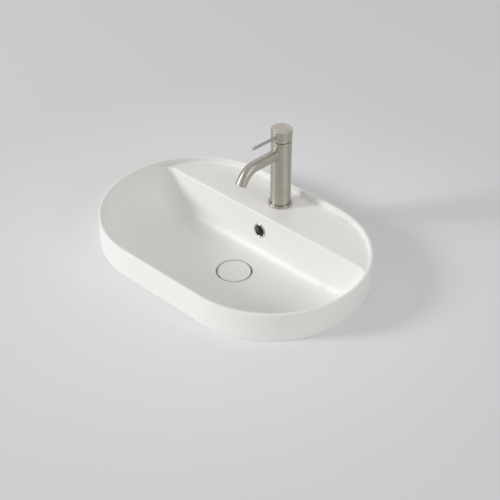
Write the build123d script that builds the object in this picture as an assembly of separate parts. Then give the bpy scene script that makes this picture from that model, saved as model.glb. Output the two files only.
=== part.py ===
from build123d import *
from math import cos, radians, sin, tan
import os

# Inset basin with a tap landing, a click waste with a ceramic cover, and a single-lever tap.
# Millimetres. The origin is the middle of the basin on the counter's top face, X runs along
# the basin, Y towards the tap and Z up.

# Basin
basin_length = 600.0
basin_depth = 396.0
rim_height = 64.0
rim_width = 6.5
rim_round = 2.0
deck_drop = 12.5
deck_thickness = 11.0
landing_width = 114.0
ridge_round = 3.5
rear_lean = 5.05
crease_radius = 32.0
floor_slope = 3.5
drain_y = 3.7
drain_level = -46.3
bowl_wall = 9.0
seat_width = 13.0

# Waste outlet cast in the basin
recess_radius = 38.0
recess_depth = 11.0
recess_round = 1.2
waste_hole_radius = 23.0
collar_height = 9.0
chamber_height = 20.0
chamber_radius = 30.0
boss_wall = 8.0

# Overflow hole and the duct behind the rear wall
overflow_drop = 37.5
overflow_hole_radius = 13.0
duct_width = 44.0
duct_gap = 12.0
duct_wall = 7.0
duct_rise = 20.0
duct_round = 6.0
overflow_ring_radius = 15.5
overflow_ring_bore = 11.8
overflow_flange = 1.6
overflow_sleeve = 8.0

# Waste
flange_radius = 33.0
flange_thickness = 2.5
flange_seal_thickness = 1.5
neck_radius = 22.6
tail_radius = 20.95
tail_bore = 18.3
tail_length = 92.0
trap_thread_length = 28.0
tail_groove_height = 2.0
tail_groove_depth = 0.8
mouth_radius = 21.2
mouth_depth = 8.0
slot_width = 20.0
slot_margin = 2.0
crossbar_height = 6.0
crossbar_hub = 8.0
crossbar_arm = 3.5
washer_radius = 31.0
washer_thickness = 8.0
washer_spigot = 3.0
friction_thickness = 1.2
backnut_flats = 56.0
backnut_height = 10.0

# Waste cover and its click mechanism
cover_radius = 34.0
cover_thickness = 6.0
cover_round = 1.5
carrier_radius = 24.0
carrier_plate = 2.0
carrier_hub = 18.2
carrier_length = 8.0
plug_ring_cord = 1.75
plug_ring_drop = 2.4
plunger_radius = 5.0
plunger_thread = 3.0
plunger_grip = 6.0
plunger_length = 20.0
click_wall = 3.0
click_overlap = 14.0
click_floor = 2.0
click_spigot = 4.0
spring_length = 10.0
spring_radius = 3.8
spring_wire = 0.5
spring_turns = 4.0

# Tap body and spout
tap_setback = 54.6
tap_hole_radius = 17.5
body_radius = 21.0
body_height = 151.0
body_gasket = 1.5
gasket_width = 3.0
base_ring_radius = 25.0
base_ring_height = 5.5
base_ring_gap = 0.4
base_ring_chamfer = 0.8
chamber_bore = 15.5
chamber_depth = 44.0
inlet_spacing = 13.0
inlet_forward = 5.0
inlet_thread = 4.5
inlet_thread_depth = 12.0
inlet_bore = 3.0
spout_radius = 11.2
spout_bore = 8.3
spout_drop = 28.7
spout_rise = 2.0
spout_reach = 119.1
spout_bend = 38.0
outlet_drop = 24.1
outlet_angle = 56.0
aerator_radius = 9.7
aerator_bore = 8.2
aerator_length = 9.0
aerator_insert_length = 6.0
aerator_seal_thickness = 1.2
aerator_inset = 0.6

# Tap fixing under the deck
stud_radius = 4.0
stud_back = 13.0
stud_grip = 15.0
stud_length = 80.0
horseshoe_radius = 24.0
horseshoe_slot = 11.0
rubber_thickness = 3.0
plate_thickness = 2.5
fixing_nut_flats = 13.0
fixing_nut_height = 12.0

# Cartridge
cartridge_gasket_thickness = 1.0
cartridge_base_height = 3.0
cartridge_radius = 15.0
cartridge_wall = 2.0
cartridge_roof = 3.5
cartridge_height = 30.0
disc_height = 3.0
fixed_disc_radius = 12.5
moving_disc_radius = 9.5
slider_height = 4.0
slider_bias = 1.45
pivot_height = 17.0
pivot_pin_radius = 1.5
ball_radius = 2.5
arm_radius = 2.0
stem_width = 6.0
stem_grip = 16.2
carrier_neck = 9.1
carrier_neck_height = 5.5
carrier_slot_length = 13.0
nut_bore = 10.5
nut_height = 8.0

# Handle
handle_gap = 1.8
cap_radius = 21.5
cap_height = 23.0
cap_wall = 2.1
cap_top = 5.0
cap_chamfer = 0.8
cap_boss = 7.0
boss_lift = 1.2
lever_radius = 3.15
lever_lift = 10.6
lever_rise = 3.0
lever_reach = 84.8
grub_radius = 2.0
grub_length = 5.0

# Clearances
running_fit = 0.1
easy_fit = 0.3
thread_fit = 0.05

# Levels and places that follow from the sizes above
straight_half = (basin_length - basin_depth) / 2
ridge_y = basin_depth / 2 - landing_width
tap_y = basin_depth / 2 - tap_setback
deck_height = rim_height - deck_drop
overflow_level = deck_height - overflow_drop
bowl_reach = basin_depth / 2 - rim_width
recess_floor = drain_level - recess_depth
chamber_top = recess_floor - collar_height
chamber_floor = chamber_top - chamber_height
outlet_face = chamber_floor - collar_height
flange_bottom = recess_floor + flange_seal_thickness
flange_top = flange_bottom + flange_thickness
tail_end = flange_top - tail_length
cover_bottom = drain_level - cover_thickness
carrier_bottom = cover_bottom - carrier_length
plunger_bottom = carrier_bottom - plunger_length
click_top = plunger_bottom + click_overlap
spring_foot = plunger_bottom - spring_length
click_bottom = spring_foot - click_floor
crossbar_level = click_bottom - crossbar_height
plug_ring_level = cover_bottom - plug_ring_drop
body_bottom = deck_height + body_gasket
body_top = body_bottom + body_height
spout_level = body_top - spout_drop
outlet_level = spout_level - outlet_drop
cartridge_seat = body_top - chamber_depth
base_level = cartridge_seat + cartridge_gasket_thickness
fixed_disc_level = base_level + cartridge_base_height
moving_disc_level = fixed_disc_level + disc_height
slider_level = moving_disc_level + disc_height
pivot_level = moving_disc_level + pivot_height
ball_level = slider_level + easy_fit + ball_radius
cartridge_top = fixed_disc_level + cartridge_height
cap_bottom = body_top + handle_gap
stem_top = cap_bottom + stem_grip
lever_level = cap_bottom + lever_lift
cap_upper = cap_bottom + cap_height
deck_underside = deck_height - deck_thickness

at_drain = Pos(0, drain_y, 0)
at_tap = Pos(0, tap_y, 0)


def disc(radius, low, high):
    return extrude(Pos(0, 0, low) * Circle(radius), amount=high - low)


def pipe(radius, bore, low, high):
    return extrude(Pos(0, 0, low) * (Circle(radius) - Circle(bore)), amount=high - low)


def turned(outline):
    """Solid of revolution about Z from (radius, height) points."""
    return revolve(Plane.XZ * make_face(Polyline(*outline, close=True)), Axis.Z)


def pill(inset, low, high):
    """Straight-sided block with round ends, drawn in from the basin's outline by inset."""
    plan = SlotOverall(basin_length - 2 * inset, basin_depth - 2 * inset)
    return extrude(Pos(0, 0, low) * plan, amount=high - low)


def rear_wall_y(level):
    return ridge_y + (level - deck_height) * tan(radians(rear_lean))


def dish_outline(grow, top):
    """Half section of the bowl: shallow floor arc, wall arc that ends upright, straight rim."""
    half = radians(floor_slope) / 2
    depth = deck_height - drain_level
    spread = cos(2 * half) - tan(half) * (1 - sin(2 * half))
    wall_radius = (depth - bowl_reach * tan(half)) / spread
    floor_radius = (bowl_reach - wall_radius) / sin(2 * half) + wall_radius
    wall_arc = wall_radius + grow
    floor_arc = floor_radius + grow
    floor_centre = drain_level + floor_radius
    middle = (0, drain_level - grow)
    floor_mid = (floor_arc * sin(half), floor_centre - floor_arc * cos(half))
    foot = (floor_arc * sin(2 * half), floor_centre - floor_arc * cos(2 * half))
    wall_mid = (
        bowl_reach - wall_radius + wall_arc * cos(radians(45)),
        deck_height - wall_arc * sin(radians(45)),
    )
    brow = (bowl_reach + grow, deck_height)
    rim = (bowl_reach + grow, top)
    axis_top = (0, top)
    return [
        ThreePointArc(middle, floor_mid, foot),
        ThreePointArc(foot, wall_mid, brow),
        Line(brow, rim),
        Line(rim, axis_top),
        Line(axis_top, middle),
    ]


def bowl_form(grow, top):
    """The hollow of the bowl, grown outwards by grow: a dish cut off by the leaning rear wall."""
    outline = dish_outline(grow, top)
    half_section = make_face([Plane.XZ * line for line in outline])
    half_turn = revolve(half_section, Axis.Z, 180)
    cross_section = make_face([Plane.YZ * line for line in outline])
    cross_section = cross_section + mirror(cross_section, Plane.XZ)
    middle = extrude(Pos(-straight_half, 0, 0) * cross_section, 2 * straight_half, (1, 0, 0))
    right_end = Pos(straight_half, 0, 0) * Rot(0, 0, -90) * half_turn
    left_end = Pos(-straight_half, 0, 0) * Rot(0, 0, 90) * half_turn
    dish = middle + right_end + left_end

    lean = radians(rear_lean)
    shift = grow / cos(lean)
    low = drain_level - grow - basin_depth / 10
    high = top + rim_height
    in_front = Polyline(
        (-basin_depth, low),
        (rear_wall_y(low) + shift, low),
        (rear_wall_y(high) + shift, high),
        (-basin_depth, high),
        close=True,
    )
    form = dish & extrude(Plane.YZ * make_face(in_front), basin_length, both=True)
    facing = Vector(0, cos(lean), -sin(lean))
    rear = [f for f in form.faces() if f.is_planar and f.normal_at().dot(facing) > 0.9999]
    crease = [e for f in rear for e in f.edges() if (e @ 0.5).Z < top - 0.01]
    return fillet(crease, crease_radius + grow)


def ridge_cutter():
    """What rounds the deck's front edge takes away. It fades out where the edge meets the rim."""
    lean = radians(rear_lean)
    middle_y = rear_wall_y(deck_height - ridge_round) + ridge_round / cos(lean)
    spare = 2 * ridge_round
    block = Rectangle(ridge_round + spare, ridge_round + spare, align=(Align.MAX, Align.MIN))
    section = Pos(middle_y, deck_height - ridge_round) * (block - Circle(ridge_round))
    corner_y = ridge_y - crease_radius / cos(lean)
    corner_x = straight_half + ((bowl_reach - crease_radius) ** 2 - corner_y**2) ** 0.5
    cutter = extrude(Plane.YZ * section, corner_x, both=True)
    quarter = revolve(Plane.YZ * Pos(-corner_y, 0) * section, Axis.Z, -90)
    cutter += Pos(corner_x, corner_y, 0) * quarter
    cutter += Pos(-corner_x, corner_y, 0) * mirror(quarter, Plane.YZ)
    return cutter & pill(rim_width, drain_level, rim_height)


def duct(wall):
    """The overflow duct, from behind the rear wall down to the waste chamber, grown by wall."""
    back = bowl_wall + duct_gap + wall
    top = min(overflow_level + duct_rise + wall, deck_underside + 1)
    knee = drain_level / 2
    foot_y = drain_y + waste_hole_radius + duct_gap + wall
    points = [
        (drain_y, chamber_top + wall),
        (rear_wall_y(chamber_top) - crease_radius, chamber_top + wall),
        (rear_wall_y(knee), knee),
        (rear_wall_y(top), top),
        (rear_wall_y(top) + back, top),
        (rear_wall_y(knee) + back, knee),
        (foot_y, chamber_floor - wall),
        (drain_y, chamber_floor - wall),
    ]
    outline = make_face(Polyline(*points, close=True))
    outer_corners = outline.vertices().sort_by(Axis.X)[-3:]
    outline = fillet(outer_corners, duct_round + wall / 2)
    return extrude(Plane.YZ * outline, duct_width / 2 + wall, both=True)


def wall_axis(radius, low, high):
    """Cylinder square to the rear wall through the overflow, low and high measured from it."""
    where = Plane(
        origin=(0, rear_wall_y(overflow_level), overflow_level),
        z_dir=(0, -cos(radians(rear_lean)), sin(radians(rear_lean))),
    )
    return where * disc(radius, low, high)


def is_recess_edge(edge):
    """True on the line where the bowl's floor turns down into the waste recess."""
    middle = edge @ 0.5
    reach = (middle.X**2 + (middle.Y - drain_y) ** 2) ** 0.5
    return abs(reach - recess_radius) < 0.01 and abs(middle.Z - drain_level) < recess_depth / 4


def basin():
    shell = bowl_form(bowl_wall, rim_height)
    hollow = bowl_form(0, rim_height + 1)
    hollow += at_drain * disc(recess_radius, recess_floor, drain_level + recess_depth)
    recess_edges = [e for e in hollow.edges() if is_recess_edge(e)]
    hollow = fillet(recess_edges, recess_round)
    outside = pill(0, 0, rim_height)
    rim_edges = outside.edges().filter_by_position(Axis.Z, rim_height, rim_height)
    outside = fillet(rim_edges, rim_round)
    under_deck = pill(seat_width, drain_level - rim_height, deck_underside)
    body = outside - under_deck
    body += shell & pill(seat_width, drain_level - rim_height, deck_height)
    body += duct(duct_wall) & pill(seat_width, outlet_face, deck_height)
    body += at_drain * disc(recess_radius + boss_wall, outlet_face, drain_level - 2)
    body -= duct(0) - shell
    body -= at_drain * disc(chamber_radius, chamber_floor, chamber_top)
    body -= at_drain * disc(waste_hole_radius, outlet_face - 1, drain_level)
    body -= hollow
    body -= pill(rim_width, deck_height, rim_height + 1)
    body -= ridge_cutter()
    body -= at_tap * disc(tap_hole_radius, deck_underside - 1, deck_height + 1)
    body -= wall_axis(overflow_hole_radius, -bowl_wall - duct_gap / 2, rim_width)
    return body


def overflow_ring():
    ring = wall_axis(overflow_ring_radius, 0, overflow_flange)
    ring += wall_axis(overflow_hole_radius - running_fit, -overflow_sleeve, overflow_flange)
    return ring - wall_axis(overflow_ring_bore, -overflow_sleeve - 1, overflow_flange + 1)


def waste_body():
    """Flanged tail with a tapered mouth, overflow slots and a crossbar for the click mechanism.

    A groove parts the thread of the backnut from the thread that takes the trap.
    """
    body = disc(flange_radius, flange_bottom, flange_top)
    body += disc(neck_radius, chamber_top, flange_top)
    body += disc(tail_radius, tail_end, flange_top)
    groove_foot = tail_end + trap_thread_length
    groove_radius = tail_radius - tail_groove_depth
    body -= pipe(tail_radius + 1, groove_radius, groove_foot, groove_foot + tail_groove_height)
    body -= disc(tail_bore, tail_end - 1, flange_top)
    body -= turned(
        [
            (0, flange_top - mouth_depth),
            (tail_bore, flange_top - mouth_depth),
            (mouth_radius, flange_top),
            (0, flange_top),
        ]
    )
    slot_height = chamber_height - 2 * slot_margin
    slot = Box(3 * tail_radius, slot_width, slot_height)
    body -= Pos(0, 0, (chamber_top + chamber_floor) / 2) * slot
    crossbar = disc(crossbar_hub, crossbar_level, crossbar_level + crossbar_height)
    for turn in range(3):
        arm = Box(tail_bore + 1, crossbar_arm, crossbar_height, align=(Align.MIN, Align.CENTER, Align.MIN))
        crossbar += Pos(0, 0, crossbar_level) * Rot(0, 0, 90 + 120 * turn) * arm
    body += crossbar
    body -= disc(click_spigot + thread_fit, crossbar_level - 1, crossbar_level + crossbar_height + 1)
    return at_drain * body


def waste_flange_seal():
    return at_drain * pipe(flange_radius - 1, neck_radius + easy_fit, recess_floor, flange_bottom)


def waste_lower_washer():
    """Soft washer under the basin, with a tapered spigot that centres it in the outlet hole."""
    bore = tail_radius + thread_fit
    washer_bottom = outlet_face - washer_thickness
    outline = [
        (bore, washer_bottom),
        (washer_radius - 2, washer_bottom),
        (washer_radius, washer_bottom + washer_thickness / 2),
        (washer_radius, outlet_face),
        (waste_hole_radius - running_fit, outlet_face),
        (bore + 1, outlet_face + washer_spigot),
        (bore, outlet_face + washer_spigot),
    ]
    return at_drain * turned(outline)


def waste_friction_washer():
    high = outlet_face - washer_thickness
    return at_drain * pipe(washer_radius, tail_radius + thread_fit, high - friction_thickness, high)


def waste_backnut():
    high = outlet_face - washer_thickness - friction_thickness
    hexagon = RegularPolygon(backnut_flats / 2, 6, major_radius=False)
    bore = Circle(tail_radius + thread_fit)
    return at_drain * extrude(Pos(0, 0, high - backnut_height) * (hexagon - bore), backnut_height)


def waste_click_housing():
    """Cup that guides the plunger, screwed into the crossbar by the spigot under it."""
    bore = plunger_radius + running_fit
    cup = pipe(bore + click_wall, bore, spring_foot, click_top)
    cup += disc(bore + click_wall, click_bottom, spring_foot)
    return at_drain * (cup + disc(click_spigot, crossbar_level - 2, spring_foot))


def waste_plunger():
    body = disc(plunger_radius, plunger_bottom, carrier_bottom)
    return at_drain * (body + disc(plunger_thread, carrier_bottom, carrier_bottom + plunger_grip))


def waste_spring():
    """Square-wire coil between the plunger and the floor of its cup."""
    low = spring_foot + spring_wire
    height = spring_length - 2 * spring_wire
    coil = Helix(height / spring_turns, height, spring_radius)
    section = RegularPolygon(spring_wire, 4)
    wire = sweep(Plane(coil @ 0, z_dir=coil % 0) * section, coil, is_frenet=True)
    return at_drain * Pos(0, 0, low) * wire


def waste_cover_carrier():
    """Plate bonded under the ceramic cover, with the grooved hub that holds the plug ring."""
    body = disc(carrier_radius, cover_bottom, cover_bottom + carrier_plate)
    body += disc(carrier_hub, carrier_bottom, cover_bottom)
    groove = pipe(
        carrier_hub + 1,
        carrier_hub - plug_ring_cord,
        plug_ring_level - plug_ring_cord,
        plug_ring_level + plug_ring_cord,
    )
    body -= groove
    body -= disc(plunger_thread, carrier_bottom - 1, carrier_bottom + plunger_grip)
    return at_drain * body


def waste_plug_ring():
    """Sealing ring of eight-sided section, seated in the groove of the hub."""
    section = Pos(carrier_hub, plug_ring_level) * Rot(0, 0, 22.5) * RegularPolygon(plug_ring_cord, 8)
    return at_drain * revolve(Plane.XZ * section, Axis.Z)


def waste_cover():
    """Ceramic disc that lies flush with the bowl's floor."""
    body = disc(cover_radius, cover_bottom, drain_level)
    rim = body.edges().filter_by(GeomType.CIRCLE).sort_by(Axis.Z)[-1]
    body = fillet(rim, cover_round)
    return at_drain * (body - disc(carrier_radius, cover_bottom - 1, cover_bottom + carrier_plate))


def spout_path():
    """Centre line of the spout, from the tap's axis to the outlet, in the plane X = 0."""
    rise = tan(radians(spout_rise))
    fall = tan(radians(outlet_angle))
    outlet_y = tap_y - spout_reach
    corner_reach = (outlet_level - spout_level + fall * spout_reach) / (fall + rise)
    corner = (0, tap_y - corner_reach, spout_level + rise * corner_reach)
    points = [(0, tap_y, spout_level), corner, (0, outlet_y, outlet_level)]
    return FilletPolyline(*points, radius=spout_bend)


def spout_run(radius):
    path = spout_path()
    return sweep(Plane(path @ 0, z_dir=path % 0) * Circle(radius), path)


def at_outlet():
    path = spout_path()
    return Plane(origin=path @ 1, x_dir=(1, 0, 0), z_dir=-(path % 1))


def tap_body():
    body = disc(body_radius, body_bottom, body_top)
    rims = body.edges().filter_by(GeomType.CIRCLE).sort_by(Axis.Z)
    body = chamfer(rims[-1], running_fit * 4)
    body -= disc(chamber_bore, cartridge_seat, body_top + 1)
    for side in (-1, 1):
        inlet = Pos(side * inlet_spacing / 2, -inlet_forward, 0)
        body -= inlet * disc(inlet_thread, body_bottom - 1, body_bottom + inlet_thread_depth)
        body -= inlet * disc(inlet_bore, body_bottom, cartridge_seat + 1)
    body -= Pos(0, stud_back, 0) * disc(stud_radius, body_bottom - 1, body_bottom + stud_grip)
    return at_tap * body - spout_run(spout_radius)


def tap_spout():
    """Bent tube, seated in the body's wall and trimmed to the chamber inside it."""
    tube = spout_run(spout_radius) - spout_run(spout_bore)
    tube -= at_tap * disc(chamber_bore, cartridge_seat, body_top)
    seat = aerator_inset + aerator_length + aerator_seal_thickness
    return tube - at_outlet() * disc(aerator_radius, -1, seat)


def aerator_housing():
    return at_outlet() * pipe(aerator_radius, aerator_bore, aerator_inset, aerator_inset + aerator_length)


def aerator_insert():
    low = aerator_inset + 1
    return at_outlet() * disc(aerator_bore, low, low + aerator_insert_length)


def aerator_seal():
    low = aerator_inset + aerator_length
    return at_outlet() * pipe(aerator_radius, aerator_bore, low, low + aerator_seal_thickness)


def tap_base_gasket():
    radius = body_radius - 1
    return at_tap * pipe(radius, radius - gasket_width, deck_height, body_bottom)


def tap_base_ring():
    ring = disc(base_ring_radius, deck_height, deck_height + base_ring_height)
    upper = ring.edges().filter_by(GeomType.CIRCLE).sort_by(Axis.Z)[-1]
    ring = chamfer(upper, base_ring_chamfer)
    return at_tap * (ring - disc(body_radius + base_ring_gap, deck_height - 1, body_top))


def tap_stud():
    high = body_bottom + stud_grip
    return at_tap * Pos(0, stud_back, 0) * disc(stud_radius, high - stud_length, high)


def horseshoe(thickness, high):
    """Washer with an open slot that lets the two hoses past, and a hole for the stud."""
    plan = Circle(horseshoe_radius)
    plan -= Pos(0, -inlet_forward) * Circle(horseshoe_slot)
    slot = Rectangle(2 * horseshoe_slot, horseshoe_radius, align=(Align.CENTER, Align.MAX))
    plan -= Pos(0, -inlet_forward) * slot
    plan -= Pos(0, stud_back) * Circle(stud_radius + thread_fit)
    return at_tap * extrude(Pos(0, 0, high - thickness) * plan, thickness)


def tap_rubber_washer():
    return horseshoe(rubber_thickness, deck_underside)


def tap_plate_washer():
    return horseshoe(plate_thickness, deck_underside - rubber_thickness)


def tap_fixing_nut():
    high = deck_underside - rubber_thickness - plate_thickness
    hexagon = RegularPolygon(fixing_nut_flats / 2, 6, major_radius=False)
    plan = Pos(0, 0, high - fixing_nut_height) * (hexagon - Circle(stud_radius + thread_fit))
    return at_tap * Pos(0, stud_back, 0) * extrude(plan, fixing_nut_height)


def cartridge_gasket():
    """Flat seal under the cartridge, with a hole for each inlet."""
    radius = cartridge_radius - easy_fit
    plan = Circle(radius)
    for side in (-1, 1):
        plan -= Pos(side * inlet_spacing / 2, -inlet_forward) * Circle(inlet_bore)
    return at_tap * extrude(Pos(0, 0, cartridge_seat) * plan, cartridge_gasket_thickness)


def port_plate(radius, low, high):
    """Disc with two inlet ports in front and an outlet port behind."""
    plan = Circle(radius)
    for side in (-1, 1):
        plan -= Pos(side * inlet_spacing / 2, -inlet_forward) * Circle(inlet_bore)
    plan -= Pos(0, inlet_spacing / 2) * Circle(inlet_bore)
    return at_tap * extrude(Pos(0, 0, low) * plan, high - low)


def cartridge_base():
    return port_plate(cartridge_radius, base_level, fixed_disc_level)


def cartridge_fixed_disc():
    return port_plate(fixed_disc_radius, fixed_disc_level, moving_disc_level)


def cartridge_moving_disc():
    """Disc that opens and closes the ports, with a mixing chamber cut in its underside."""
    body = disc(moving_disc_radius, moving_disc_level, slider_level)
    body -= disc(moving_disc_radius - disc_height, moving_disc_level, moving_disc_level + disc_height / 2)
    return at_tap * Pos(0, slider_bias, 0) * body


def cartridge_slider():
    """Seat on the moving disc that the stem's ball pushes to and fro."""
    body = disc(moving_disc_radius, slider_level, slider_level + slider_height)
    pocket = Pos(0, -slider_bias, 0) * disc(
        ball_radius + easy_fit,
        slider_level,
        slider_level + slider_height + 1,
    )
    return at_tap * Pos(0, slider_bias, 0) * (body - pocket)


def cartridge_housing():
    bore = cartridge_radius - cartridge_wall
    body = pipe(cartridge_radius, bore, fixed_disc_level, cartridge_top - cartridge_roof)
    body += pipe(cartridge_radius, carrier_neck + running_fit, cartridge_top - cartridge_roof, cartridge_top)
    return at_tap * body


def cartridge_carrier():
    """Drum that turns in the housing, slotted for the stem and drilled for its pin."""
    bore = cartridge_radius - cartridge_wall
    low = slider_level + slider_height + easy_fit
    shoulder = cartridge_top - cartridge_roof - easy_fit
    body = disc(bore - running_fit, low, shoulder)
    body += disc(carrier_neck, shoulder, shoulder + carrier_neck_height)
    slot = Box(stem_width + 2 * running_fit, carrier_slot_length, 2 * cartridge_height)
    body -= Pos(0, 0, pivot_level) * slot
    body -= Pos(0, 0, pivot_level) * Rot(0, 90, 0) * Cylinder(pivot_pin_radius, 4 * cartridge_radius)
    return at_tap * body


def cartridge_pin():
    length = 2 * (cartridge_radius - cartridge_wall - running_fit) - 1
    return at_tap * Pos(0, 0, pivot_level) * Rot(0, 90, 0) * Cylinder(pivot_pin_radius, length)


def cartridge_stem():
    """Square lever that tilts on the pin, with a ball under it that moves the slider."""
    foot = pivot_level - stem_width / 2
    square = Rectangle(stem_width, stem_width)
    body = extrude(Pos(0, 0, foot) * square, stem_top - foot)
    body += disc(arm_radius, ball_level, foot)
    body += Pos(0, 0, ball_level) * Sphere(ball_radius)
    bore = Cylinder(pivot_pin_radius + running_fit / 2, 2 * stem_width)
    return at_tap * (body - Pos(0, 0, pivot_level) * Rot(0, 90, 0) * bore)


def cartridge_nut():
    """Ring nut that clamps the cartridge in the body, with a hexagon for its spanner."""
    plan = Circle(chamber_bore - thread_fit) - Circle(nut_bore)
    body = extrude(Pos(0, 0, cartridge_top) * plan, nut_height)
    socket = RegularPolygon(nut_bore + 1, 6, major_radius=False)
    return at_tap * (body - extrude(Pos(0, 0, cartridge_top + nut_height / 2) * socket, nut_height))


def lever_axis():
    """Place of the lever where its line meets the tap's axis, with Z along it to the tip."""
    rise = radians(lever_rise)
    level = lever_level - cap_radius * tan(rise)
    return Plane(origin=(0, tap_y, level), x_dir=(1, 0, 0), z_dir=(0, -cos(rise), sin(rise)))


def handle_cap():
    """Cap with a thin skirt and a square socket in its boss for the stem."""
    cap = disc(cap_radius, cap_bottom, cap_upper)
    cap = chamfer(cap.edges().filter_by(GeomType.CIRCLE).sort_by(Axis.Z)[-1], cap_chamfer)
    cap -= disc(cap_radius - cap_wall, cap_bottom - 1, cap_upper - cap_top)
    cap += disc(cap_boss, cap_bottom + boss_lift, cap_upper - cap_top)
    socket = Rectangle(stem_width + running_fit, stem_width + running_fit)
    cap -= extrude(Pos(0, 0, cap_bottom) * socket, stem_top + running_fit - cap_bottom)
    cap = at_tap * cap
    cap -= lever_axis() * disc(lever_radius + thread_fit, stem_width / 2, 2 * cap_radius)
    rear = Plane(origin=(0, tap_y, lever_level), z_dir=(0, 1, 0))
    return cap - rear * disc(grub_radius + thread_fit, stem_width / 2, 2 * cap_radius)


def handle_lever():
    """Round pin screwed into the cap's boss, with a domed tip."""
    root = stem_width / 2 + easy_fit
    pin = disc(lever_radius, root, lever_reach - lever_radius)
    pin += Pos(0, 0, lever_reach - lever_radius) * Sphere(lever_radius)
    return lever_axis() * pin


def handle_grub_screw():
    rear = Plane(origin=(0, tap_y, lever_level), z_dir=(0, 1, 0))
    root = stem_width / 2 + running_fit
    return rear * disc(grub_radius, root, root + grub_length)


pieces = [
    basin,
    overflow_ring,
    waste_body,
    waste_flange_seal,
    waste_lower_washer,
    waste_friction_washer,
    waste_backnut,
    waste_click_housing,
    waste_plunger,
    waste_spring,
    waste_cover_carrier,
    waste_plug_ring,
    waste_cover,
    tap_body,
    tap_spout,
    aerator_housing,
    aerator_insert,
    aerator_seal,
    tap_base_gasket,
    tap_base_ring,
    tap_stud,
    tap_rubber_washer,
    tap_plate_washer,
    tap_fixing_nut,
    cartridge_gasket,
    cartridge_base,
    cartridge_fixed_disc,
    cartridge_moving_disc,
    cartridge_slider,
    cartridge_housing,
    cartridge_carrier,
    cartridge_pin,
    cartridge_stem,
    cartridge_nut,
    handle_cap,
    handle_lever,
    handle_grub_screw,
]
os.makedirs("parts", exist_ok=True)
for piece in pieces:
    export_step(piece(), f"parts/{piece.__name__}.step")
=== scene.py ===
import math

import bmesh
import bpy
import mathutils
import numpy as np
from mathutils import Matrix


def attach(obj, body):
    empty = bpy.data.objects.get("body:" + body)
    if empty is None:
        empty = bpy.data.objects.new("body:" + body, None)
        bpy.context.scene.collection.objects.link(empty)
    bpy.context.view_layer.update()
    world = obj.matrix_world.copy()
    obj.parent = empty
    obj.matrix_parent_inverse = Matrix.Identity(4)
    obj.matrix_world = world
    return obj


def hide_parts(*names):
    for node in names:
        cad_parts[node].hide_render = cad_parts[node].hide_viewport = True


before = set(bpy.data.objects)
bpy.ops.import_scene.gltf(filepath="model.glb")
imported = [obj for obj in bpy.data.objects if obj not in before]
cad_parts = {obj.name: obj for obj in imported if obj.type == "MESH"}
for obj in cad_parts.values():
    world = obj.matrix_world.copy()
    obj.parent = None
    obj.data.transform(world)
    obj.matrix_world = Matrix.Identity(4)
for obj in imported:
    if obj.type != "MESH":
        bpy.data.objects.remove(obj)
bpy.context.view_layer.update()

# Basin shell. One fired piece of vitreous china, slip cast and coated with a matt white glaze.
# A shallow dish and a leaning rear wall meet in one soft crease. The landing behind carries the
# tap, a thin rim runs round both, and the foot of the rim stands on the counter.
#
# Lengths are in millimetres and MM makes them metres. Levels are heights over the counter.
MM = 0.001
SHARP_ANGLE = math.radians(35)
RIM_HEIGHT, RIM_WIDTH, RIM_ROUND = 64.0, 6.5, 2.0
HALF_STRAIGHT, END_RADIUS = 102.0, 198.0
BOWL_REACH = END_RADIUS - RIM_WIDTH
LANDING, LANDING_UNDER = 51.5, 40.5
LANDING_FILLET = 2.5
WALL_ARC = 94.847
WALL_ARC_CENTRE = BOWL_REACH - WALL_ARC
FLOOR_ARC, FLOOR_LEVEL, FLOOR_SLOPE = 1678.06, -46.3, math.radians(3.5)
RIDGE_Y, RIDGE_ROUND, LEAN = 84.0, 3.5, math.radians(5.05)
CREASE = 44.0
WALL = 9.0
FOOT_WIDTH, FOOT_EASE = 13.0, 0.8
DRAIN_Y = 3.7
RECESS_RADIUS, RECESS_FLOOR, RECESS_ROUND = 38.0, -57.3, 1.2
OUTLET_RADIUS, BOSS_RADIUS, BOSS_FOOT = 23.0, 46.0, -95.3
OVER_DRAIN = np.array([0.0, DRAIN_Y, LANDING - 4])
COLUMNS = 400


def depth_in_bowl(p):
    """Depth below the bowl's surface, positive inside the hollow.

    The dish's depth comes from its wall arc or its floor arc, measured from the pill's straight
    core, the rear wall's from its plane. Where both are under the crease radius, the depth is
    that under a ball of this radius that touches the two.
    """
    x, y, z = p[..., 0], p[..., 1], p[..., 2]
    out = np.maximum(np.abs(x) - HALF_STRAIGHT, 0.0)
    reach = np.hypot(out, y) + 1e-9
    across = reach - WALL_ARC_CENTRE
    drop = LANDING - z
    on_wall = np.arctan2(across, drop) > FLOOR_SLOPE
    to_wall = np.hypot(across, drop) + 1e-9
    up = z - FLOOR_LEVEL - FLOOR_ARC
    to_floor = np.hypot(reach, up)
    upright = z >= LANDING
    dish = np.where(on_wall, WALL_ARC - to_wall, FLOOR_ARC - to_floor)
    dish = np.where(upright, BOWL_REACH - reach, dish)
    level = np.where(upright, 1.0, np.where(on_wall, across / to_wall, reach / to_floor))
    steep = np.where(upright, 0.0, np.where(on_wall, -drop / to_wall, up / to_floor))
    rear = (RIDGE_Y + (z - LANDING) * math.tan(LEAN) - y) * math.cos(LEAN)
    meet = level * y / reach * math.cos(LEAN) - steep * math.sin(LEAN)
    u, v, sine = dish - CREASE, rear - CREASE, np.maximum(1 - meet**2, 1e-9)
    ball = CREASE - np.sqrt(np.maximum(u**2 + v**2 - 2 * u * v * meet, 0.0) / sine)
    in_crease = (u < v * meet) & (v < u * meet)
    return np.where(in_crease, ball, np.minimum(dish, rear))


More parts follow.
